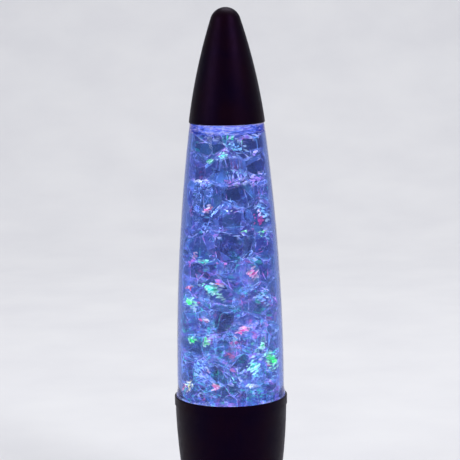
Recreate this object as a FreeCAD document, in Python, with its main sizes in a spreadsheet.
import FreeCAD, Part
import Sketcher
import math
import os
import random
import re

# A rocket-shaped crystal lamp that stands on a table. A waisted base carries a tapering clear tube, packed
# with clear faceted crystals, and a hollow cap closes the top. Red, green and blue lights in the base shine
# up through a turning faceted lens. Lengths are millimetres, +Z is up, -Y is the front, and the origin is
# the middle of the footprint on the table.

SIZES = {
    # base shell
    "foot_spread": 6.6,
    "foot_gap": 2.0,
    "foot_edge": 3.0,
    "waist_margin": 1.93,
    "waist_height": 34.0,
    "flare_draw": 1.2,
    "flare_rise": 16.0,
    "bowl_draw": 1.45,
    "bowl_rise": 34.0,
    "rim_step": 0.65,
    "rim_wall": 1.3,
    "rim_band": 7.0,
    "rim_round": 0.6,
    "base_wall": 2.2,
    "ledge_thick": 2.5,
    "ledge_width": 6.7,
    "seat_depth": 8.0,
    "seat_thick": 2.5,
    "seat_lap": 2.7,
    "wall_bite": 0.8,
    "overrun": 1.0,
    # bottom plate, feet and battery box
    "plate_thick": 3.0,
    "plate_play": 0.2,
    "pad_radius": 4.5,
    "pad_inset": 7.9,
    "pad_margin": 1.0,
    "pad_sink": 1.0,
    "boss_radius": 3.4,
    "boss_inset": 5.3,
    "boss_angle": 14.0,
    "cell_radius": 7.1,
    "cell_length": 50.5,
    "cell_play": 0.4,
    "cell_tip": 1.2,
    "cell_tip_radius": 2.7,
    "contact_room": 4.0,
    "contact_thick": 0.4,
    "contact_side": 10.6,
    "contact_peg": 2.1,
    "contact_slack": 0.1,
    "box_wall": 1.5,
    "door_thick": 1.8,
    "door_lap": 1.8,
    "door_play": 0.2,
    "tab_width": 10.0,
    "tab_reach": 7.5,
    "tab_boss_rise": 5.0,
    "tab_boss_roof": 1.0,
    # screws
    "screw_radius": 1.2,
    "screw_head": 2.4,
    "screw_head_height": 1.4,
    "screw_play": 0.05,
    "screw_bite": 8.0,
    "short_bite": 2.2,
    # control niche at the back
    "niche_width": 27.0,
    "niche_height": 14.0,
    "niche_middle": 15.0,
    "niche_room": 1.45,
    "niche_wall": 2.0,
    "knob_width": 3.5,
    "knob_height": 3.0,
    "knob_proud": 1.5,
    "knob_travel": 3.0,
    "knob_play": 0.3,
    "switch_side": 6.5,
    "switch_width": 12.0,
    "switch_tall": 6.0,
    "switch_deep": 5.0,
    "inlet_radius": 4.0,
    "inlet_play": 0.1,
    "inlet_bore": 2.75,
    "inlet_pin": 0.95,
    "inlet_deep": 6.0,
    "inlet_back": 1.0,
    "inlet_rim": 1.4,
    "inlet_flange": 5.0,
    # boards
    "board_thick": 1.6,
    "board_margin": 2.2,
    "board_lift": 4.0,
    "board_post": 3.0,
    "board_post_inset": 8.0,
    "post_floor": 0.5,
    "chip_side": 9.0,
    "chip_tall": 1.6,
    "socket_wide": 12.0,
    "socket_deep": 4.5,
    "socket_tall": 5.0,
    "socket_y": 12.0,
    "can_radius": 3.0,
    "can_tall": 6.0,
    # turning works
    "motor_plate_thick": 2.5,
    "motor_plate_play": 1.2,
    "motor_plate_inset": 2.5,
    "motor_radius": 10.0,
    "motor_height": 14.0,
    "motor_boss": 3.5,
    "motor_boss_height": 1.2,
    "motor_screw_spread": 6.0,
    "motor_screw_bite": 4.0,
    "motor_shaft_radius": 1.0,
    "shaft_sink": 3.0,
    "gear_module": 0.6,
    "gear_teeth": 50,
    "pinion_teeth": 10,
    "gear_lift": 2.5,
    "gear_thick": 4.0,
    "gear_hub_radius": 5.0,
    "gear_hub_drop": 2.0,
    "gear_rim": 1.8,
    "gear_web": 1.6,
    "tooth_root_share": 1.1,
    "tooth_crown_share": 0.75,
    "tooth_foot_share": 0.72,
    "tooth_tip_share": 0.26,
    "tooth_sink": 0.2,
    "spindle_radius": 2.0,
    "spindle_play": 0.03,
    "spindle_tail": 1.0,
    "press_play": 0.01,
    "bush_radius": 4.5,
    "bush_flange": 6.5,
    "bush_flange_thick": 1.0,
    "bush_rise": 3.0,
    "collar_radius": 4.0,
    "collar_thick": 2.0,
    "run_gap": 0.3,
    "clip_thick": 0.8,
    "clip_radius": 4.2,
    # lights
    "deck_gap": 3.0,
    "deck_thick": 2.5,
    "deck_play": 4.7,
    "deck_post": 3.5,
    "deck_post_ring": 27.0,
    "led_board_hole": 6.0,
    "led_board_inset": 5.0,
    "led_ring": 15.0,
    "led_side": 5.0,
    "led_body": 1.4,
    "led_dome": 2.1,
    "lens_gap": 4.0,
    "lens_room": 3.9,
    "lens_height": 20.0,
    "lens_inset": 4.2,
    "lens_wall": 2.0,
    "lens_post": 4.5,
    "lens_socket": 12.0,
    "reflector_gap": 1.5,
    "reflector_foot_width": 1.6,
    "reflector_play": 0.3,
    "reflector_wall": 1.2,
    # wires
    "wire_radius": 0.7,
    "wire_bend": 2.5,
    "wire_hole": 5.0,
    "wire_pitch": 2.0,
    "wire_inset": 9.0,
    "wire_jog": 4.0,
    "wire_jog_low": 4.0,
    "wire_jog_high": 6.0,
    "lead_clear": 2.4,
    "lead_inset": 5.0,
    "motor_wire_gap": 3.0,
    "motor_wire_hole": 2.1,
    # tube
    "tube_flange_reach": 1.0,
    "tube_flange_height": 9.5,
    "tube_foot_radius": 42.6,
    "tube_foot_rise": 8.0,
    "tube_middle_draw": 3.21,
    "tube_top_draw": 13.27,
    "tube_rise": 218.4,
    "tube_wall": 2.5,
    "tube_play": 0.1,
    "shoulder_thick": 7.4,
    "neck_inset": 3.73,
    "neck_height": 10.6,
    "neck_wall": 2.5,
    "tray_thick": 3.0,
    "tray_screw_inset": 5.4,
    "tray_screw_cover": 0.6,
    "plug_play": 0.1,
    "plug_wall": 1.8,
    "plug_depth": 16.0,
    "plug_flange": 2.5,
    # cap
    "cap_lift_gap": 0.3,
    "cap_proud": 0.62,
    "cap_middle_draw": 7.3,
    "cap_shoulder_draw": 18.65,
    "cap_height": 82.3,
    "cap_dome_rise": 7.6,
    "cap_wall": 1.8,
    "cap_lip": 0.7,
    "cap_play": 0.3,
    "cap_bore_depth": 14.0,
    # crystals
    "crystal_size": 25.0,
    "crystal_layer": 19.6,
    "crystal_gap": 0.3,
    "crystal_play": 0.6,
}

# Heights and widths that follow from the sizes.
PLACES = {
    "plate_top": "foot_gap + plate_thick",
    "plate_radius": "foot_radius - base_wall - plate_play",
    "waist_radius": "sqrt((room_wide / 2 + box_wall) ^ 2 + (room_long / 2 + box_wall) ^ 2) + waist_margin",
    "foot_radius": "waist_radius + foot_spread",
    "flare_radius": "waist_radius + flare_draw",
    "ledge_radius": "waist_radius - base_wall - ledge_width",
    "ledge_top": "waist_height + ledge_thick",
    "rim_radius": "tube_flange_radius + tube_play + rim_wall",
    "neckline_radius": "rim_radius - rim_step",
    "bowl_radius": "neckline_radius - bowl_draw",
    "flare_height": "waist_height + flare_rise",
    "bowl_height": "waist_height + bowl_rise",
    "seat_bottom": "lens_top + lens_room",
    "seat_top": "seat_bottom + seat_thick",
    "rim_height": "seat_top + seat_depth",
    "room_wide": "6 * cell_radius + 4 * cell_play",
    "room_long": "cell_length + cell_tip + contact_room + 2 * contact_thick",
    "cell_axis": "plate_top + cell_play + cell_radius",
    "room_top": "cell_axis + cell_radius + cell_play",
    "box_top": "room_top + box_wall",
    "door_wide": "room_wide + 2 * door_lap",
    "door_long": "room_long + 2 * door_lap",
    "door_screw_y": "-door_long / 2 - tab_reach / 2",
    "pad_x": "door_wide / 2 + door_play + pad_radius + pad_margin",
    "pad_y": "sqrt((foot_radius - pad_inset) ^ 2 - (pad_x) ^ 2)",
    "boss_ring": "waist_radius - boss_inset",
    "board_radius": "boss_ring - boss_radius - board_margin",
    "board_post_ring": "board_radius - board_post_inset",
    "board_bottom": "box_top + board_lift",
    "board_top": "board_bottom + board_thick",
    "motor_plate_radius": "waist_radius - base_wall - motor_plate_play",
    "motor_plate_ring": "motor_plate_radius - motor_plate_inset",
    "motor_plate_top": "ledge_top + motor_plate_thick",
    "motor_top": "motor_plate_top + motor_height",
    "gear_bottom": "motor_top + gear_lift",
    "gear_top": "gear_bottom + gear_thick",
    "gear_centres": "gear_module * (gear_teeth + pinion_teeth) / 2",
    "bush_top": "motor_plate_top + bush_flange_thick + bush_rise",
    "deck_radius": "bowl_radius - base_wall - deck_play",
    "deck_bottom": "gear_top + deck_gap",
    "deck_top": "deck_bottom + deck_thick",
    "led_board_top": "deck_top + board_thick",
    "upper_bush_top": "led_board_top + run_gap",
    "reflector_mouth": "seat_radius - reflector_play",
    "lens_radius": "reflector_mouth - lens_inset",
    "led_board_radius": "lens_radius",
    "led_board_ring": "led_board_radius - led_board_inset",
    "reflector_foot": "lens_radius + reflector_gap",
    "lens_bottom": "led_board_top + lens_gap",
    "lens_top": "lens_bottom + lens_height",
    "spindle_bottom": "ledge_top - run_gap - clip_thick - spindle_tail",
    "spindle_top": "upper_bush_top + run_gap + lens_socket",
    "niche_low": "niche_middle - niche_height / 2",
    "niche_flat": "room_long / 2 + box_wall + niche_room + switch_deep + niche_wall",
    "niche_inner": "niche_flat - niche_wall",
    "tray_screw_ring": "tube_foot_radius - tray_screw_inset",
    "seat_radius": "tray_screw_ring - seat_lap",
    "tray_top": "seat_top + tray_thick",
    "tube_flange_radius": "tube_foot_radius + tube_flange_reach",
    "tube_middle_radius": "tube_foot_radius - tube_middle_draw",
    "tube_top_radius": "tube_foot_radius - tube_top_draw",
    "tube_flange_top": "seat_top + tube_flange_height",
    "tube_bore": "tube_foot_radius - tube_wall",
    "tube_foot_height": "rim_height + tube_foot_rise",
    "tube_top_height": "rim_height + tube_rise",
    "tube_middle_height": "(tube_foot_height + tube_top_height) / 2",
    "shoulder_under": "tube_top_height - shoulder_thick",
    "neck_radius": "tube_top_radius - neck_inset",
    "neck_top": "tube_top_height + neck_height",
    "neck_bore": "neck_radius - neck_wall",
    "plug_top": "neck_top + plug_flange",
    "cap_foot_radius": "tube_top_radius + cap_proud",
    "cap_middle_radius": "cap_foot_radius - cap_middle_draw",
    "cap_shoulder_radius": "cap_foot_radius - cap_shoulder_draw",
    "cap_bottom": "tube_top_height + cap_lift_gap",
    "cap_shoulder_height": "cap_bottom + cap_height",
    "cap_middle_height": "(cap_bottom + cap_shoulder_height) / 2",
    "cap_tip_height": "cap_shoulder_height + cap_dome_rise",
    "cap_bore": "neck_radius + cap_play",
    "cap_bore_top": "cap_bottom + cap_bore_depth",
    "lead_rise": "waist_height - board_top - lead_clear",
    "wire_y": "board_radius - wire_inset",
    "wire_y_top": "wire_y + wire_jog",
    "motor_wire_x": "motor_radius - gear_centres",
    "motor_wire_y": "motor_radius + motor_wire_gap",
}

doc = FreeCAD.newDocument("CrystalLamp")
sheet = doc.addObject("Spreadsheet::Sheet", "Sizes")
nodes = {}


def fill_sheet():
    """Write each driving size in column B, with its name beside it and as its alias."""
    for row, (name, number) in enumerate(SIZES.items(), start=1):
        sheet.set("A%d" % row, name)
        sheet.set("B%d" % row, str(number))
        sheet.setAlias("B%d" % row, name)
    doc.recompute()


def bound(text):
    """Point every size name in an expression at the sheet, and spell out the names of places."""
    def spell(match):
        word = match.group()
        if word in PLACES:
            return "(" + bound(PLACES[word]) + ")"
        if word in SIZES:
            return "Sizes." + word
        return word
    return re.sub(r"[a-z_]+", spell, str(text))


def value(text):
    """The number that an expression gives with the sheet as it is now."""
    return float(sheet.evalExpression(bound(text)))


def keep(name, piece):
    """Label a finished sub-part, which also names its file."""
    piece.Label = name
    nodes[name] = piece
    return piece


def place(piece, x="0", y="0", z="0"):
    """Bind a piece's position to expressions."""
    for axis, text in (("x", x), ("y", y), ("z", z)):
        if text != "0":
            piece.setExpression(".Placement.Base." + axis, bound(text))
    return piece


def ring_spots(radius, angles):
    """Expressions for the x and y of spots on a ring about the upright axis."""
    return [("(%s) * cos(%s)" % (radius, angle), "(%s) * sin(%s)" % (radius, angle)) for angle in angles]


def cylinder(radius, height, x="0", y="0", z="0"):
    """An upright cylinder standing on the height z."""
    piece = doc.addObject("Part::Cylinder", "Cylinder")
    piece.setExpression("Radius", bound(radius))
    piece.setExpression("Height", bound(height))
    return place(piece, x, y, z)


def cylinder_along_y(radius, length, x, y, z):
    """A cylinder lying along Y, from y towards the back."""
    piece = cylinder(radius, length)
    piece.Placement.Rotation = FreeCAD.Rotation(FreeCAD.Vector(1, 0, 0), -90)
    return place(piece, x, y, z)


def box(wide, deep, tall, x="0", y="0", z="0"):
    """A box centred on x, starting at y and standing on z."""
    piece = doc.addObject("Part::Box", "Box")
    piece.setExpression("Length", bound(wide))
    piece.setExpression("Width", bound(deep))
    piece.setExpression("Height", bound(tall))
    return place(piece, "(%s) - (%s) / 2" % (x, wide), y, z)


def joined(pieces):
    """One solid made from pieces that meet or overlap."""
    piece = doc.addObject("Part::MultiFuse", "Joined")
    piece.Shapes = pieces
    return piece


def group(pieces):
    """Several separate solids of one kind, kept side by side in one sub-part."""
    piece = doc.addObject("Part::Compound", "Group")
    piece.Links = pieces
    return piece


def without(base, tools):
    """The base piece with every tool piece cut away."""
    piece = doc.addObject("Part::Cut", "Cut")
    piece.Base = base
    piece.Tool = joined(tools) if len(tools) > 1 else tools[0]
    return piece


def shared(first, second):
    """The room that two pieces both fill."""
    piece = doc.addObject("Part::Common", "Common")
    piece.Base = first
    piece.Tool = second
    return piece


def origin_plane(body, role):
    return next(plane for plane in body.Origin.OriginFeatures if plane.Role == role)


def new_sketch(body, role):
    """An empty sketch on one of the body's own origin planes."""
    sketch = body.newObject("Sketcher::SketchObject", "Sketch")
    sketch.AttachmentSupport = [(origin_plane(body, role), "")]
    sketch.MapMode = "FlatFace"
    return sketch


def pin(sketch, item, end, corner):
    """Hold one end of an edge at a corner whose two coordinates are expressions."""
    for kind, axis, text in (("DistanceX", -2, corner[0]), ("DistanceY", -1, corner[1])):
        if text == "0":
            sketch.addConstraint(Sketcher.Constraint("PointOnObject", item, end, axis))
            continue
        index = sketch.addConstraint(Sketcher.Constraint(kind, -1, 1, item, end, value(text)))
        sketch.setExpression("Constraints[%d]" % index, bound(text))


def dome_middle(start, end):
    """A point halfway along an arc from start to end whose centre lies on the upright axis."""
    centre = (end.x ** 2 + end.y ** 2 - start.x ** 2 - start.y ** 2) / (2 * (end.y - start.y))
    radius = math.hypot(start.x, start.y - centre)
    angle = (math.atan2(start.y - centre, start.x) + math.atan2(end.y - centre, end.x)) / 2
    return FreeCAD.Vector(radius * math.cos(angle), centre + radius * math.sin(angle), 0)


def draw_outline(sketch, outline):
    """Draw a closed outline through its corners, each (across, up). Where the word dome stands between two
    corners, an arc centred on the upright axis joins them. Where [across, up] does, the arc passes it."""
    spots = [spot for spot, item in enumerate(outline) if isinstance(item, tuple)]
    corners = [outline[spot] for spot in spots]
    ends = []
    for number, (spot, corner) in enumerate(zip(spots, corners)):
        after = outline[(spot + 1) % len(outline)]
        start = FreeCAD.Vector(value(corner[0]), value(corner[1]), 0)
        target = corners[(number + 1) % len(corners)]
        finish = FreeCAD.Vector(value(target[0]), value(target[1]), 0)
        if isinstance(after, tuple):
            item = sketch.addGeometry(Part.LineSegment(start, finish))
        elif after == "dome":
            item = sketch.addGeometry(Part.Arc(start, dome_middle(start, finish), finish))
            sketch.addConstraint(Sketcher.Constraint("PointOnObject", item, 3, -2))
        else:
            bulge = FreeCAD.Vector(value(after[0]), value(after[1]), 0)
            item = sketch.addGeometry(Part.Arc(start, bulge, finish))
            mark = sketch.addGeometry(Part.Point(bulge), True)
            sketch.addConstraint(Sketcher.Constraint("PointOnObject", mark, 1, item))
            pin(sketch, mark, 1, after)
        first = 1 if sketch.getPoint(item, 1).distanceToPoint(start) < 1e-6 else 2
        ends.append((item, first, 3 - first))
    for number, corner in enumerate(corners):
        item, first, last = ends[number]
        before, before_first, before_last = ends[number - 1]
        sketch.addConstraint(Sketcher.Constraint("Coincident", before, before_last, item, first))
        pin(sketch, item, first, corner)


def turned(outline):
    """A body turned about the upright axis from half of its outline."""
    body = doc.addObject("PartDesign::Body", "Turned")
    sketch = new_sketch(body, "XZ_Plane")
    draw_outline(sketch, outline)
    turn = body.newObject("PartDesign::Revolution", "Turn")
    turn.Profile = sketch
    turn.ReferenceAxis = (sketch, ["V_Axis"])
    turn.Angle = 360
    return body


def screw(x, y, under_head, length, head_down):
    """A pan-head screw. Its head is below under_head when head_down is true, and above it otherwise."""
    if head_down:
        head = cylinder("screw_head", "screw_head_height", x, y, "%s - screw_head_height" % under_head)
        shank = cylinder("screw_radius", length, x, y, under_head)
    else:
        head = cylinder("screw_head", "screw_head_height", x, y, under_head)
        shank = cylinder("screw_radius", length, x, y, "%s - (%s)" % (under_head, length))
    return joined([head, shank])


def screw_hole(x, y, bottom, height):
    """The hole for a screw's shank."""
    return cylinder("screw_radius + screw_play", height, x, y, bottom)


# The rings of fasteners and posts, by their angles in degrees about the upright axis.
BOSS_ANGLES = ["boss_angle", "180 - boss_angle", "180 + boss_angle", "-boss_angle"]
PAD_SPOTS = [("pad_x", "pad_y"), ("-pad_x", "pad_y"), ("-pad_x", "-pad_y"), ("pad_x", "-pad_y")]
BOARD_ANGLES = [30, 150, 270]
CHIP_ANGLES = [-30, 185]
CAN_ANGLES = [236, 304]
PLATE_ANGLES = [60, 180, 300]
POST_ANGLES = [0, 120, 240]
LED_BOARD_ANGLES = [60, 180, 300]
TRAY_ANGLES = [30, 150, 270]
CELL_SPOTS = ["-2 * cell_radius - cell_play", "0", "2 * cell_radius + cell_play"]


def base_form():
    """The solid waisted form of the base, before it is hollowed."""
    return turned([
        ("0", "foot_gap"),
        ("foot_radius", "foot_gap"),
        ("foot_radius", "foot_gap + foot_edge"),
        ["waist_radius + (foot_radius - waist_radius) / 4", "(foot_gap + foot_edge + waist_height) / 2"],
        ("waist_radius", "waist_height"),
        ["waist_radius + (flare_radius - waist_radius) / 4", "(waist_height + flare_height) / 2"],
        ("flare_radius", "flare_height"),
        ["bowl_radius", "bowl_height"],
        ("neckline_radius", "rim_height - rim_band"),
        ("rim_radius", "rim_height - rim_band"),
        ("rim_radius", "rim_height - rim_round"),
        ["rim_radius - rim_round * (1 - cos(45))", "rim_height - rim_round * (1 - cos(45))"],
        ("rim_radius - rim_round", "rim_height"),
        ("0", "rim_height"),
    ])


def base_hollow():
    """The room inside the base, open below, with the wider seat of the tube at the top."""
    return turned([
        ("0", "foot_gap - overrun"),
        ("foot_radius - base_wall", "foot_gap - overrun"),
        ("foot_radius - base_wall", "foot_gap + foot_edge"),
        ["waist_radius + (foot_radius - waist_radius) / 4 - base_wall",
         "(foot_gap + foot_edge + waist_height) / 2"],
        ("waist_radius - base_wall", "waist_height"),
        ["waist_radius + (flare_radius - waist_radius) / 4 - base_wall",
         "(waist_height + flare_height) / 2"],
        ("flare_radius - base_wall", "flare_height"),
        ["bowl_radius - base_wall", "bowl_height"],
        ("neckline_radius - base_wall", "seat_top"),
        ("tube_flange_radius + tube_play", "seat_top"),
        ("tube_flange_radius + tube_play", "rim_height + overrun"),
        ("0", "rim_height + overrun"),
    ])


def inner_ring(outer, inner, bottom, thick):
    """A flat ring on the inside of the base wall."""
    hole = cylinder(inner, thick + " + 2 * overrun", z=bottom + " - overrun")
    return without(cylinder(outer, thick, z=bottom), [hole])


def base_shell():
    form = base_form()
    ledge = inner_ring("waist_radius - base_wall + wall_bite", "ledge_radius", "waist_height", "ledge_thick")
    seat = inner_ring("neckline_radius - base_wall + wall_bite", "seat_radius", "seat_bottom", "seat_thick")
    bosses = [cylinder("boss_radius", "waist_height - plate_top + overrun", x, y, "plate_top")
              for x, y in ring_spots("boss_ring", BOSS_ANGLES)]
    block = shared(form, box("niche_width + 2 * niche_wall", "foot_radius", "niche_height + 2 * niche_wall",
                             y="niche_inner", z="niche_low - niche_wall"))
    niche = box("niche_width", "foot_radius", "niche_height", y="niche_flat", z="niche_low")
    slot = box("knob_width + knob_travel + 2 * knob_play", "niche_wall + 2 * overrun",
               "knob_height + 2 * knob_play", "-switch_side", "niche_inner - overrun",
               "niche_middle - knob_height / 2 - knob_play")
    inlet_hole = cylinder_along_y("inlet_radius + inlet_play", "niche_wall + 2 * overrun", "switch_side",
                                  "niche_inner - overrun", "niche_middle")
    boss_holes = [screw_hole(x, y, "plate_top - overrun", "screw_bite + 2 * overrun")
                  for x, y in ring_spots("boss_ring", BOSS_ANGLES)]
    ledge_holes = [screw_hole(x, y, "waist_height - overrun", "ledge_thick + 2 * overrun")
                   for x, y in ring_spots("motor_plate_ring", PLATE_ANGLES)]
    seat_holes = [screw_hole(x, y, "seat_bottom - overrun", "seat_thick + 2 * overrun")
                  for x, y in ring_spots("tray_screw_ring", TRAY_ANGLES)]
    shell = joined([without(form, [base_hollow()]), ledge, seat, block] + bosses)
    cuts = [niche, slot, inlet_hole] + boss_holes + ledge_holes + seat_holes
    return keep("base_shell", without(shell, cuts))


def bottom_plate():
    """The disc that closes the base below, with the battery box and the posts of the main board on it."""
    disc = cylinder("plate_radius", "plate_thick", z="foot_gap")
    case = box("room_wide + 2 * box_wall", "room_long + 2 * box_wall", "box_top - foot_gap",
               y="-room_long / 2 - box_wall", z="foot_gap")
    tab_boss = cylinder("boss_radius", "plate_thick + tab_boss_rise", "0", "door_screw_y", "foot_gap")
    posts = [cylinder("board_post", "board_lift + box_wall / 2", x, y, "box_top - box_wall / 2")
             for x, y in ring_spots("board_post_ring", BOARD_ANGLES)]
    room = box("room_wide", "room_long", "room_top - foot_gap + overrun", y="-room_long / 2",
               z="foot_gap - overrun")
    rebate = door_room("door_play", "door_thick + overrun", "foot_gap - overrun")
    pads = [cylinder("pad_radius", "pad_sink + overrun", x, y, "foot_gap - overrun")
            for x, y in PAD_SPOTS]
    holes = [screw_hole(x, y, "foot_gap - overrun", "plate_thick + 2 * overrun")
             for x, y in ring_spots("boss_ring", BOSS_ANGLES)]
    holes += [screw_hole(x, y, "board_bottom - board_lift", "board_lift + overrun")
              for x, y in ring_spots("board_post_ring", BOARD_ANGLES)]
    holes += [screw_hole("0", "door_screw_y", "foot_gap", "plate_thick + tab_boss_rise - tab_boss_roof")]
    plate = joined([disc, case, tab_boss] + posts)
    return keep("bottom_plate", without(plate, [room, rebate] + pads + holes))


def door_room(play, thick, bottom):
    """The outline of the battery door with its screw tab, grown by a play on every side."""
    panel = box("door_wide + 2 * " + play, "door_long + 2 * " + play, thick,
                y="-door_long / 2 - " + play, z=bottom)
    tab = box("tab_width + 2 * " + play, "tab_reach + overrun + " + play, thick,
              y="-door_long / 2 - tab_reach - " + play, z=bottom)
    return joined([panel, tab])


def battery_door():
    door = door_room("0", "door_thick", "foot_gap")
    keep("battery_door", without(door, [screw_hole("0", "door_screw_y", "foot_gap - overrun",
                                                      "door_thick + 2 * overrun")]))
    keep("battery_door_screw", screw("0", "door_screw_y", "foot_gap",
                                     "plate_thick + tab_boss_rise - 2 * tab_boss_roof", True))


def battery_cells():
    """Three round cells side by side, each with its raised pole towards the back or the front in turn."""
    cells = []
    for number, x in enumerate(CELL_SPOTS):
        start = "-cell_length / 2"
        can = cylinder_along_y("cell_radius", "cell_length", x, start, "cell_axis")
        tip_start = "cell_length / 2" if number % 2 == 0 else "-cell_length / 2 - cell_tip"
        tip = cylinder_along_y("cell_tip_radius", "cell_tip", x, tip_start, "cell_axis")
        cells.append(joined([can, tip]))
    return keep("battery_cells", group(cells))


def battery_contacts():
    """The contacts at both ends of the cells, each a plate with a peg in the place of its spring."""
    contacts = []
    for number, x in enumerate(CELL_SPOTS):
        for side in (1, -1):
            at_pole = (side == 1) == (number % 2 == 0)
            wall = "%d * room_long / 2" % side
            plate_start = wall + (" - contact_thick" if side == 1 else "")
            plate = box("contact_side", "contact_thick", "contact_side", x, plate_start,
                        "cell_axis - contact_side / 2")
            reach = "room_long / 2 - contact_thick - cell_length / 2"
            reach = "(%s) - contact_slack" % reach + (" - cell_tip" if at_pole else "")
            start = "contact_thick - room_long / 2"
            if side == 1:
                start = "room_long / 2 - contact_thick - (%s)" % reach
            peg = cylinder_along_y("contact_peg", reach, x, start, "cell_axis")
            contacts.append(joined([plate, peg]))
    return keep("battery_contacts", group(contacts))


def feet_and_bottom_screws():
    keep("rubber_feet", group([cylinder("pad_radius", "foot_gap + pad_sink", x, y)
                               for x, y in PAD_SPOTS]))
    keep("bottom_screws", group([screw(x, y, "foot_gap", "plate_thick + screw_bite", True)
                                 for x, y in ring_spots("boss_ring", BOSS_ANGLES)]))


def switch():
    """A slide switch behind the niche, with its knob through the slot."""
    body = box("switch_width", "switch_deep", "switch_tall", "-switch_side", "niche_inner - switch_deep",
               "niche_middle - switch_tall / 2")
    keep("switch_body", body)
    knob = box("knob_width", "niche_wall - knob_play + knob_proud", "knob_height",
               "-switch_side - knob_travel / 2", "niche_inner + knob_play", "niche_middle - knob_height / 2")
    keep("switch_knob", knob)


def power_inlet():
    """A round low-voltage inlet with a centre pin."""
    inner_end = "niche_flat - inlet_deep"
    barrel = cylinder_along_y("inlet_radius", "inlet_deep", "switch_side", inner_end, "niche_middle")
    flange = cylinder_along_y("inlet_flange", "inlet_rim", "switch_side", "niche_flat", "niche_middle")
    bore = cylinder_along_y("inlet_bore", "inlet_deep + inlet_rim", "switch_side",
                            inner_end + " + inlet_back", "niche_middle")
    contact = cylinder_along_y("inlet_pin", "inlet_deep", "switch_side", inner_end, "niche_middle")
    return keep("power_inlet", joined([without(joined([barrel, flange]), [bore]), contact]))


def main_board():
    disc = cylinder("board_radius", "board_thick", z="board_bottom")
    spots = ring_spots("board_post_ring", BOARD_ANGLES)
    keep("main_board", without(disc, [screw_hole(x, y, "board_bottom - overrun", "board_thick + 2 * overrun")
                                       for x, y in spots]))
    keep("board_screws", group([screw(x, y, "board_top", "board_thick + board_lift - post_floor", False)
                                for x, y in spots]))
    parts = [box("chip_side", "chip_side", "chip_tall", y="-chip_side / 2", z="board_top"),
             box("socket_wide", "socket_deep", "socket_tall", y="socket_y", z="board_top")]
    parts += [box("chip_side / 2", "chip_side / 2", "chip_tall", x, y, "board_top")
              for x, y in ring_spots("board_post_ring - can_radius", CHIP_ANGLES)]
    parts += [cylinder("can_radius", "can_tall", x, y, "board_top")
              for x, y in ring_spots("board_post_ring", CAN_ANGLES)]
    keep("board_components", group(parts))


def motor_plate():
    """The plate on the inner ledge, which carries the gearmotor, the lower bush and the light deck."""
    disc = cylinder("motor_plate_radius", "motor_plate_thick", z="ledge_top")
    low = "ledge_top - overrun"
    through = "motor_plate_thick + 2 * overrun"
    holes = [cylinder("bush_radius + screw_play", through, z=low),
             cylinder("wire_hole", through, "0", "wire_y", low),
             cylinder("motor_wire_hole", through, "motor_wire_x", "motor_wire_y", low),
             cylinder("motor_wire_hole", through, "motor_wire_x", "-motor_wire_y", low)]
    screw_spots = ring_spots("motor_plate_ring", PLATE_ANGLES)
    spots = screw_spots + ring_spots("deck_post_ring", POST_ANGLES)
    spots += [("-gear_centres", "motor_screw_spread"), ("-gear_centres", "-motor_screw_spread")]
    holes += [screw_hole(x, y, low, through) for x, y in spots]
    keep("motor_plate", without(disc, holes))
    length = "motor_plate_thick + ledge_thick"
    keep("motor_plate_screws", group([screw(x, y, "motor_plate_top", length, False)
                                      for x, y in screw_spots]))


def gearmotor():
    can = cylinder("motor_radius", "motor_height", "-gear_centres", "0", "motor_plate_top")
    nose = cylinder("motor_boss", "motor_boss_height + overrun", "-gear_centres", "0", "motor_top - overrun")
    bore = cylinder("motor_shaft_radius + spindle_play", "shaft_sink + motor_boss_height + overrun",
                    "-gear_centres", "0", "motor_top - shaft_sink")
    spots = [("-gear_centres", side + "motor_screw_spread") for side in ("", "-")]
    holes = [screw_hole(x, y, "motor_plate_top - overrun", "motor_screw_bite + 2 * overrun")
             for x, y in spots]
    keep("gearmotor", without(joined([can, nose]), [bore] + holes))
    keep("motor_screws", group([screw(x, y, "ledge_top", "motor_plate_thick + motor_screw_bite", True)
                                for x, y in spots]))


def toothed_wheel(teeth, bore, turn):
    """A spur wheel about the Z axis: a root disc, one tooth, and the tooth repeated round it."""
    body = doc.addObject("PartDesign::Body", "Wheel")
    root = "gear_module * (%s / 2 - tooth_root_share)" % teeth
    tip = "gear_module * (%s / 2 + tooth_crown_share)" % teeth
    disc = body.newObject("Sketcher::SketchObject", "RootSketch")
    disc.AttachmentSupport = [(origin_plane(body, "XY_Plane"), "")]
    disc.MapMode = "FlatFace"
    for radius in (root, bore):
        item = disc.addGeometry(Part.Circle(FreeCAD.Vector(), FreeCAD.Vector(0, 0, 1), value(radius)))
        disc.addConstraint(Sketcher.Constraint("Coincident", item, 3, -1, 1))
        index = disc.addConstraint(Sketcher.Constraint("Radius", item, value(radius)))
        disc.setExpression("Constraints[%d]" % index, bound(radius))
    blank = body.newObject("PartDesign::Pad", "Blank")
    blank.Profile = disc
    blank.setExpression("Length", bound("gear_thick"))
    tooth_sketch = new_sketch(body, "XY_Plane")
    draw_outline(tooth_sketch, [
        (root + " - tooth_sink", "gear_module * tooth_foot_share"),
        (root + " - tooth_sink", "-gear_module * tooth_foot_share"),
        (tip, "-gear_module * tooth_tip_share"),
        (tip, "gear_module * tooth_tip_share"),
    ])
    tooth = body.newObject("PartDesign::Pad", "Tooth")
    tooth.Profile = tooth_sketch
    tooth.setExpression("Length", bound("gear_thick"))
    doc.recompute()
    ring = body.newObject("PartDesign::PolarPattern", "Teeth")
    ring.Originals = [tooth]
    ring.Axis = (disc, ["N_Axis"])
    ring.Angle = 360
    ring.setExpression("Occurrences", bound(teeth))
    body.Tip = ring
    body.Placement.Rotation = FreeCAD.Rotation(FreeCAD.Vector(0, 0, 1), turn)
    return body


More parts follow.
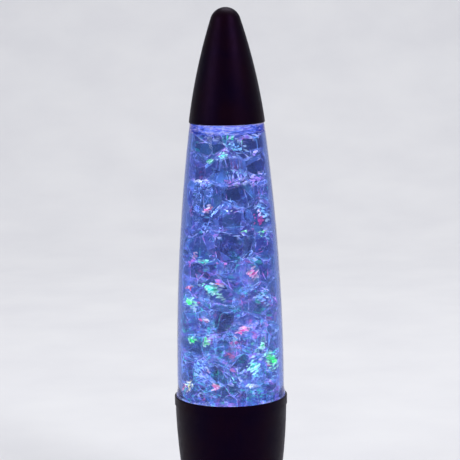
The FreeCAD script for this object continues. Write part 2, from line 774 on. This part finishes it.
def turning_works():
    """The pinion on the motor's shaft, and the spindle with its wheel, collar and clip."""
    pinion = toothed_wheel("pinion_teeth", "motor_shaft_radius + press_play", 180 / value("pinion_teeth"))
    keep("motor_pinion", place(pinion, "-gear_centres", "0", "gear_bottom"))
    keep("motor_shaft", cylinder("motor_shaft_radius", "gear_top - motor_top + shaft_sink - run_gap",
                                 "-gear_centres", "0", "motor_top - shaft_sink + run_gap"))
    wheel = place(toothed_wheel("gear_teeth", "spindle_radius + press_play", 0), z="gear_bottom")
    hub = without(cylinder("gear_hub_radius", "gear_hub_drop", z="gear_bottom - gear_hub_drop"),
                  [cylinder("spindle_radius + press_play", "gear_hub_drop + 2 * overrun",
                            z="gear_bottom - gear_hub_drop - overrun")])
    web = without(cylinder("gear_module * gear_teeth / 2 - gear_rim", "gear_web + overrun",
                           z="gear_top - gear_web"),
                  [cylinder("gear_hub_radius", "gear_web + 3 * overrun", z="gear_top - gear_web - overrun")])
    keep("spindle_gear", without(joined([wheel, hub]), [web]))
    rod = cylinder("spindle_radius", "spindle_top - spindle_bottom", z="spindle_bottom")
    collar = cylinder("collar_radius", "collar_thick", z="bush_top + run_gap")
    keep("lens_spindle", joined([rod, collar]))
    keep("spindle_clip", without(cylinder("clip_radius", "clip_thick", z="ledge_top - run_gap - clip_thick"),
                                 [cylinder("spindle_radius + press_play", "clip_thick + 2 * overrun",
                                           z="ledge_top - run_gap - clip_thick - overrun")]))


def bushes():
    """The two plain bushes in which the spindle runs, in the motor plate and in the light deck."""
    lower = joined([cylinder("bush_radius", "bush_top - ledge_top", z="ledge_top"),
                    cylinder("bush_flange", "bush_flange_thick", z="motor_plate_top")])
    lower_bore = cylinder("spindle_radius + spindle_play", "bush_top - ledge_top + 2 * overrun",
                          z="ledge_top - overrun")
    upper = cylinder("bush_radius", "upper_bush_top - deck_bottom + overrun", z="deck_bottom - overrun")
    upper_bore = cylinder("spindle_radius + spindle_play", "upper_bush_top - deck_bottom + 3 * overrun",
                          z="deck_bottom - 2 * overrun")
    return keep("spindle_bushes", group([without(lower, [lower_bore]), without(upper, [upper_bore])]))


def light_deck():
    """The deck over the gears, on three posts, with the ring of lights on its own board."""
    disc = cylinder("deck_radius", "deck_thick", z="deck_bottom")
    posts = [cylinder("deck_post", "deck_bottom - motor_plate_top + overrun", x, y, "motor_plate_top")
             for x, y in ring_spots("deck_post_ring", POST_ANGLES)]
    holes = [cylinder("bush_radius + screw_play", "deck_thick + 2 * overrun", z="deck_bottom - overrun"),
             cylinder("wire_hole", "deck_thick + 2 * overrun", "0", "wire_y_top", "deck_bottom - overrun")]
    holes += [screw_hole(x, y, "motor_plate_top - overrun", "screw_bite + 2 * overrun")
              for x, y in ring_spots("deck_post_ring", POST_ANGLES)]
    holes += [screw_hole(x, y, "deck_bottom - overrun", "deck_thick + 2 * overrun")
              for x, y in ring_spots("led_board_ring", LED_BOARD_ANGLES)]
    keep("light_deck", without(joined([disc] + posts), holes))
    keep("deck_screws", group([screw(x, y, "ledge_top", "motor_plate_thick + screw_bite", True)
                               for x, y in ring_spots("deck_post_ring", POST_ANGLES)]))
    board = cylinder("led_board_radius", "board_thick", z="deck_top")
    board_holes = [cylinder("led_board_hole", "board_thick + 2 * overrun", z="deck_top - overrun")]
    board_holes += [screw_hole(x, y, "deck_top - overrun", "board_thick + 2 * overrun")
                    for x, y in ring_spots("led_board_ring", LED_BOARD_ANGLES)]
    keep("led_board", without(board, board_holes))
    keep("led_board_screws", group([screw(x, y, "led_board_top", "board_thick + short_bite", False)
                                    for x, y in ring_spots("led_board_ring", LED_BOARD_ANGLES)]))


def light_emitters(name, first_angle):
    """Three emitters of one colour, each a square body with a clear dome."""
    emitters = []
    for x, y in ring_spots("led_ring", [first_angle + 120 * number for number in range(3)]):
        body = box("led_side", "led_side", "led_body", x, "(%s) - led_side / 2" % y, "led_board_top")
        dome = doc.addObject("Part::Sphere", "Dome")
        dome.setExpression("Radius", bound("led_dome"))
        dome.Angle1 = 0
        place(dome, x, y, "led_board_top + led_body")
        emitters.append(joined([body, dome]))
    return keep(name, group(emitters))


def colour_lens():
    """The turning dome over the lights, with the post that presses on the spindle."""
    dome = turned([
        ("lens_radius - lens_wall", "lens_bottom"),
        ("lens_radius", "lens_bottom"),
        "dome",
        ("0", "lens_top"),
        ("0", "lens_top - lens_wall"),
        "dome",
    ])
    post_bottom = "upper_bush_top + run_gap"
    post = cylinder("lens_post", "lens_top - lens_wall / 2 - (%s)" % post_bottom, z=post_bottom)
    bore = cylinder("spindle_radius + press_play", "lens_socket + overrun", z=post_bottom + " - overrun")
    return keep("colour_lens", without(joined([dome, post]), [bore]))


def reflector():
    return keep("reflector", turned([
        ("reflector_foot", "deck_top"),
        ("reflector_foot + reflector_foot_width", "deck_top"),
        ("reflector_foot + reflector_foot_width", "deck_top + reflector_foot_width"),
        ("reflector_mouth", "seat_bottom - run_gap"),
        ("reflector_mouth - reflector_wall", "seat_bottom - run_gap"),
        ("reflector_foot", "deck_top + reflector_foot_width"),
    ]))


def tube_form(inset, bottom):
    """The ogive of the tube as a solid, drawn in from its outer face by an inset."""
    return turned([
        ("0", bottom),
        ("tube_foot_radius - " + inset, bottom),
        ("tube_foot_radius - " + inset, "tube_foot_height"),
        ["tube_middle_radius - " + inset, "tube_middle_height"],
        ("tube_top_radius - " + inset, "tube_top_height"),
        ("0", "tube_top_height"),
    ])


def tube():
    """The clear tube: its flange stands in the base, and its neck carries the plug and the cap."""
    flange = turned([
        ("0", "seat_top"),
        ("tube_flange_radius", "seat_top"),
        ("tube_flange_radius", "tube_flange_top"),
        ["tube_foot_radius + (tube_flange_radius - tube_foot_radius) / 4",
         "(tube_flange_top + tube_foot_height) / 2"],
        ("tube_foot_radius", "tube_foot_height"),
        ("0", "tube_foot_height"),
    ])
    neck = cylinder("neck_radius", "neck_height + overrun", z="tube_top_height - overrun")
    room = shared(tube_form("tube_wall", "seat_top - overrun"),
                  cylinder("foot_radius", "shoulder_under - seat_top + overrun", z="seat_top - overrun"))
    bore = cylinder("neck_bore", "neck_top - shoulder_under + 2 * overrun", z="shoulder_under - overrun")
    keep("tube", without(joined([tube_form("0", "seat_top"), flange, neck]), [room, bore]))


def crystal_tray():
    """The clear floor under the crystals, bonded into the tube's foot and screwed down to the seat."""
    spots = ring_spots("tray_screw_ring", TRAY_ANGLES)
    disc = cylinder("tube_bore - tube_play", "tray_thick", z="seat_top")
    holes = [screw_hole(x, y, "seat_top - overrun", "tray_thick + overrun - tray_screw_cover / 2")
             for x, y in spots]
    keep("crystal_tray", without(disc, holes))
    keep("tray_screws", group([screw(x, y, "seat_bottom", "seat_thick + tray_thick - tray_screw_cover", True)
                               for x, y in spots]))


def tube_plug():
    """The stopper in the neck, with its flange on the neck's end."""
    return keep("tube_plug", turned([
        ("neck_bore - plug_play - plug_wall", "neck_top - plug_depth"),
        ("neck_bore - plug_play", "neck_top - plug_depth"),
        ("neck_bore - plug_play", "neck_top"),
        ("neck_radius", "neck_top"),
        ("neck_radius", "plug_top"),
        ("0", "plug_top"),
        ("0", "plug_top - plug_wall"),
        ("neck_bore - plug_play - plug_wall", "plug_top - plug_wall"),
    ]))


def cap():
    """The hollow tapering cap with its domed tip and a straight bore over the neck."""
    return keep("cap", turned([
        ("cap_bore", "cap_bottom"),
        ("cap_foot_radius - cap_lip", "cap_bottom"),
        ["cap_foot_radius - cap_lip * (1 - cos(45))", "cap_bottom + cap_lip * (1 - cos(45))"],
        ("cap_foot_radius", "cap_bottom + cap_lip"),
        ["cap_middle_radius", "cap_middle_height"],
        ("cap_shoulder_radius", "cap_shoulder_height"),
        "dome",
        ("0", "cap_tip_height"),
        ("0", "cap_tip_height - cap_wall"),
        "dome",
        ("cap_shoulder_radius - cap_wall", "cap_shoulder_height"),
        ["cap_middle_radius - cap_wall", "cap_middle_height"],
        ("cap_bore", "cap_bore_top"),
    ]))


def wire(points):
    """A thin round wire along straight runs that are joined by tangent arcs."""
    radius = value("wire_radius")
    corners = [FreeCAD.Vector(*[value(text) for text in point]) for point in points]
    edges = []
    start = corners[0]
    for before, corner, after in zip(corners, corners[1:], corners[2:]):
        towards = (before - corner).normalize()
        onwards = (after - corner).normalize()
        half = towards.getAngle(onwards) / 2
        setback = min(value("wire_bend") / math.tan(half), (before - corner).Length * 0.45,
                      (after - corner).Length * 0.45)
        bend = setback * math.tan(half)
        middle_way = (towards + onwards).normalize()
        centre = corner + middle_way * (bend / math.sin(half))
        first = corner + towards * setback
        last = corner + onwards * setback
        edges.append(Part.LineSegment(start, first).toShape())
        edges.append(Part.Arc(first, centre - middle_way * bend, last).toShape())
        start = last
    edges.append(Part.LineSegment(start, corners[-1]).toShape())
    path = Part.Wire(edges)
    direction = (corners[1] - corners[0]).normalize()
    section = Part.Wire([Part.Circle(corners[0], direction, radius).toShape()])
    return path.makePipeShell([section], True, False)


def wires():
    """The leads between the switch, the inlet, the boards and the motor."""
    lead_y = "niche_inner - switch_deep / 2"
    power = [wire([(x, lead_y, start), (x, lead_y, "board_top + lead_rise"),
                   (x, "board_radius - lead_inset", "board_top + lead_rise"),
                   (x, "board_radius - lead_inset", "board_top")])
             for x, start in (("-switch_side", "niche_middle + switch_tall / 2"),
                              ("switch_side", "niche_middle + inlet_radius"))]
    tag_y = "wire_pitch - room_long / 2"
    battery = [wire([(x, tag_y, "box_top"), (x, tag_y, "board_bottom")])
               for x in ("-cell_radius", "cell_radius")]
    lights = [wire([(x, "wire_y", "board_top"), (x, "wire_y", "motor_plate_top + wire_jog_low"),
                    (x, "wire_y_top", "deck_bottom - wire_jog_high"), (x, "wire_y_top", "deck_top")])
              for x in ("-1.5 * wire_pitch", "-0.5 * wire_pitch", "0.5 * wire_pitch", "1.5 * wire_pitch")]
    can_share = "motor_radius / sqrt(motor_radius ^ 2 + motor_wire_y ^ 2)"
    can_x = "motor_radius * %s - gear_centres" % can_share
    can_y = "motor_wire_y * %s" % can_share
    motor = [wire([("motor_wire_x", side + "motor_wire_y", "board_top"),
                   ("motor_wire_x", side + "motor_wire_y", "motor_plate_top + motor_height / 2"),
                   (can_x, "%s(%s)" % (side, can_y), "motor_plate_top + motor_height / 2")])
             for side in ("", "-")]
    for name, runs in (("power_wires", power), ("battery_wires", battery), ("led_wires", lights),
                       ("motor_wires", motor)):
        piece = doc.addObject("Part::Feature", "Wires")
        piece.Shape = Part.makeCompound(runs)
        keep(name, piece)


def clipped(faces, normal, reach):
    """The faces of a convex cell after the side where normal . point is over reach is cut away."""
    kept = []
    rim = []
    for face in faces:
        outline = []
        for here, ahead in zip(face, face[1:] + face[:1]):
            depth = normal.dot(here) - reach
            depth_ahead = normal.dot(ahead) - reach
            if depth <= 0:
                outline.append(here)
            if depth * depth_ahead < 0:
                cross = here + (ahead - here) * (depth / (depth - depth_ahead))
                outline.append(cross)
                rim.append(cross)
        if len(outline) > 2:
            kept.append(outline)
    corners = []
    for point in rim:
        if all(point.distanceToPoint(other) > 1e-6 for other in corners):
            corners.append(point)
    if len(corners) > 2:
        middle = sum(corners, FreeCAD.Vector()) * (1 / len(corners))
        across = (corners[0] - middle).normalize()
        along = normal.cross(across)
        corners.sort(key=lambda point: math.atan2((point - middle).dot(along), (point - middle).dot(across)))
        kept.append(corners)
    return kept


def cube_faces(centre, half):
    """The six faces of a cube, to start a cell from."""
    faces = []
    for axis in range(3):
        for side in (-1, 1):
            face = []
            for first, second in ((-1, -1), (1, -1), (1, 1), (-1, 1)):
                corner = [0.0, 0.0, 0.0]
                corner[axis] = side * half
                corner[(axis + 1) % 3] = first * half
                corner[(axis + 2) % 3] = second * half
                face.append(centre + FreeCAD.Vector(*corner))
            faces.append(face)
    return faces


def solid_from(faces):
    """A solid closed by flat faces."""
    flats = [Part.Face(Part.makePolygon(face + face[:1])) for face in faces]
    return Part.makeSolid(Part.makeShell(flats))


class TubeRoom:
    """The room inside the tube: how wide it is at a height, and how its wall leans."""

    def __init__(self):
        spots = [("tube_foot_radius", "tube_foot_height"), ("tube_middle_radius", "tube_middle_height"),
                 ("tube_top_radius", "tube_top_height")]
        points = [FreeCAD.Vector(value(across) - value("tube_wall"), value(up), 0) for across, up in spots]
        curve = Part.ArcOfCircle(*points)
        self.centre = curve.Center
        self.bend = curve.Radius

    def radius(self, height):
        height = max(height, value("tube_foot_height"))
        return self.centre.x + math.sqrt(self.bend ** 2 - (height - self.centre.y) ** 2)

    def wall_plane(self, angle, height):
        """The wall's outward normal and its reach from the origin, at an angle and a height."""
        height = max(height, value("tube_foot_height"))
        out = (self.radius(height) - self.centre.x) / self.bend
        up = (height - self.centre.y) / self.bend
        normal = FreeCAD.Vector(out * math.cos(angle), out * math.sin(angle), up)
        reach = out * self.radius(height) + up * height
        return normal, reach


# How loosely the crystals are set, as shares of their size: the ring's distance from the wall, the play of a
# crystal's middle out and round and up, and the ring from which a layer also holds a crystal in its middle.
# The heap lies loosest at the bottom, where the play up is this much more than at the top.
RING_INSET = 0.52
PLAY_OUT = 0.08
PLAY_ROUND = 0.24
PLAY_UP = 0.2
MIDDLE_PLAY = 0.12
MIDDLE_FROM = 0.75
LOOSE_BELOW = 0.9
# How a crystal is cut: the flats that stand for the round wall, the corners cut off, and how deep.
WALL_FLATS = 24
CORNERS_CUT = 7
CORNER_REACH = 0.84


def crystal_seeds(room):
    """The middles of the crystals: layers of rings, set loosely so that no two crystals are alike."""
    chance = random.Random(7)
    size = value("crystal_size")
    low = value("tray_top")
    high = value("shoulder_under")
    layers = max(1, round((high - low) / value("crystal_layer")))
    seeds = []
    for layer in range(layers):
        height = low + (layer + 0.5) * (high - low) / layers
        ring_radius = room.radius(height) - size * RING_INSET
        around = max(3, round(2 * math.pi * ring_radius / size))
        start = chance.random() * 2 * math.pi
        play_up = size * PLAY_UP * (0.5 + LOOSE_BELOW * (1 - (layer + 0.5) / layers))
        for number in range(around):
            angle = start + 2 * math.pi * (number + PLAY_ROUND * chance.uniform(-1, 1)) / around
            out = ring_radius * (1 + PLAY_OUT * chance.uniform(-1, 1))
            rise = height + play_up * chance.uniform(-1, 1)
            seeds.append(FreeCAD.Vector(out * math.cos(angle), out * math.sin(angle), rise))
        if ring_radius > size * MIDDLE_FROM:
            seeds.append(FreeCAD.Vector(size * MIDDLE_PLAY * chance.uniform(-1, 1),
                                        size * MIDDLE_PLAY * chance.uniform(-1, 1),
                                        height + play_up * chance.uniform(-1, 1)))
    return seeds


def crystal(seed, seeds, room):
    """One crystal: the room nearest its seed, less a gap, with its sharpest corners cut off."""
    gap = value("crystal_gap") / 2
    play = value("crystal_play")
    size = value("crystal_size")
    faces = cube_faces(seed, 2 * size)
    for other in seeds:
        if other is seed or other.distanceToPoint(seed) > 3 * size:
            continue
        normal = (other - seed).normalize()
        faces = clipped(faces, normal, normal.dot((seed + other) * 0.5) - gap)
    faces = clipped(faces, FreeCAD.Vector(0, 0, -1), -value("tray_top") - gap)
    faces = clipped(faces, FreeCAD.Vector(0, 0, 1), value("shoulder_under") - gap)
    for step in range(WALL_FLATS):
        normal, reach = room.wall_plane(2 * math.pi * step / WALL_FLATS, seed.z)
        faces = clipped(faces, normal, reach - play)
    for cut in range(CORNERS_CUT):
        corners = [point for face in faces for point in face]
        corner = max(corners, key=lambda point: point.distanceToPoint(seed))
        reach = corner.distanceToPoint(seed)
        normal = (corner - seed) * (1 / reach)
        faces = clipped(faces, normal, normal.dot(seed) + CORNER_REACH * reach)
    return solid_from(faces)


def crystals():
    """The clear faceted crystals that fill the tube, kept in three groups by height."""
    room = TubeRoom()
    seeds = crystal_seeds(room)
    low = value("tray_top")
    third = (value("shoulder_under") - low) / 3
    groups = {"crystals_lower": [], "crystals_middle": [], "crystals_upper": []}
    for seed in seeds:
        name = list(groups)[min(2, int((seed.z - low) / third))]
        groups[name].append(crystal(seed, seeds, room))
    for name, solids in groups.items():
        piece = doc.addObject("Part::Feature", "Crystals")
        piece.Shape = Part.makeCompound(solids)
        keep(name, piece)


def check():
    """Stop if any object failed or any sub-part is empty or broken."""
    for item in doc.Objects:
        if "Invalid" in item.State or "Error" in item.State:
            raise RuntimeError("failed object: %s %s" % (item.Label, item.State))
    for name, piece in nodes.items():
        if piece.Shape.isNull() or not piece.Shape.isValid() or not piece.Shape.Solids:
            raise RuntimeError("bad shape: " + name)


fill_sheet()
base_shell()
bottom_plate()
battery_door()
battery_cells()
battery_contacts()
feet_and_bottom_screws()
switch()
power_inlet()
main_board()
motor_plate()
gearmotor()
turning_works()
bushes()
light_deck()
light_emitters("red_leds", 20)
light_emitters("green_leds", 60)
light_emitters("blue_leds", 100)
colour_lens()
reflector()
tube()
crystal_tray()
tube_plug()
cap()
wires()
crystals()
doc.recompute()
check()
os.makedirs("parts", exist_ok=True)
for name, piece in nodes.items():
    piece.Shape.exportStep("parts/%s.step" % name)
    print(name, len(piece.Shape.Solids), round(piece.Shape.Volume))
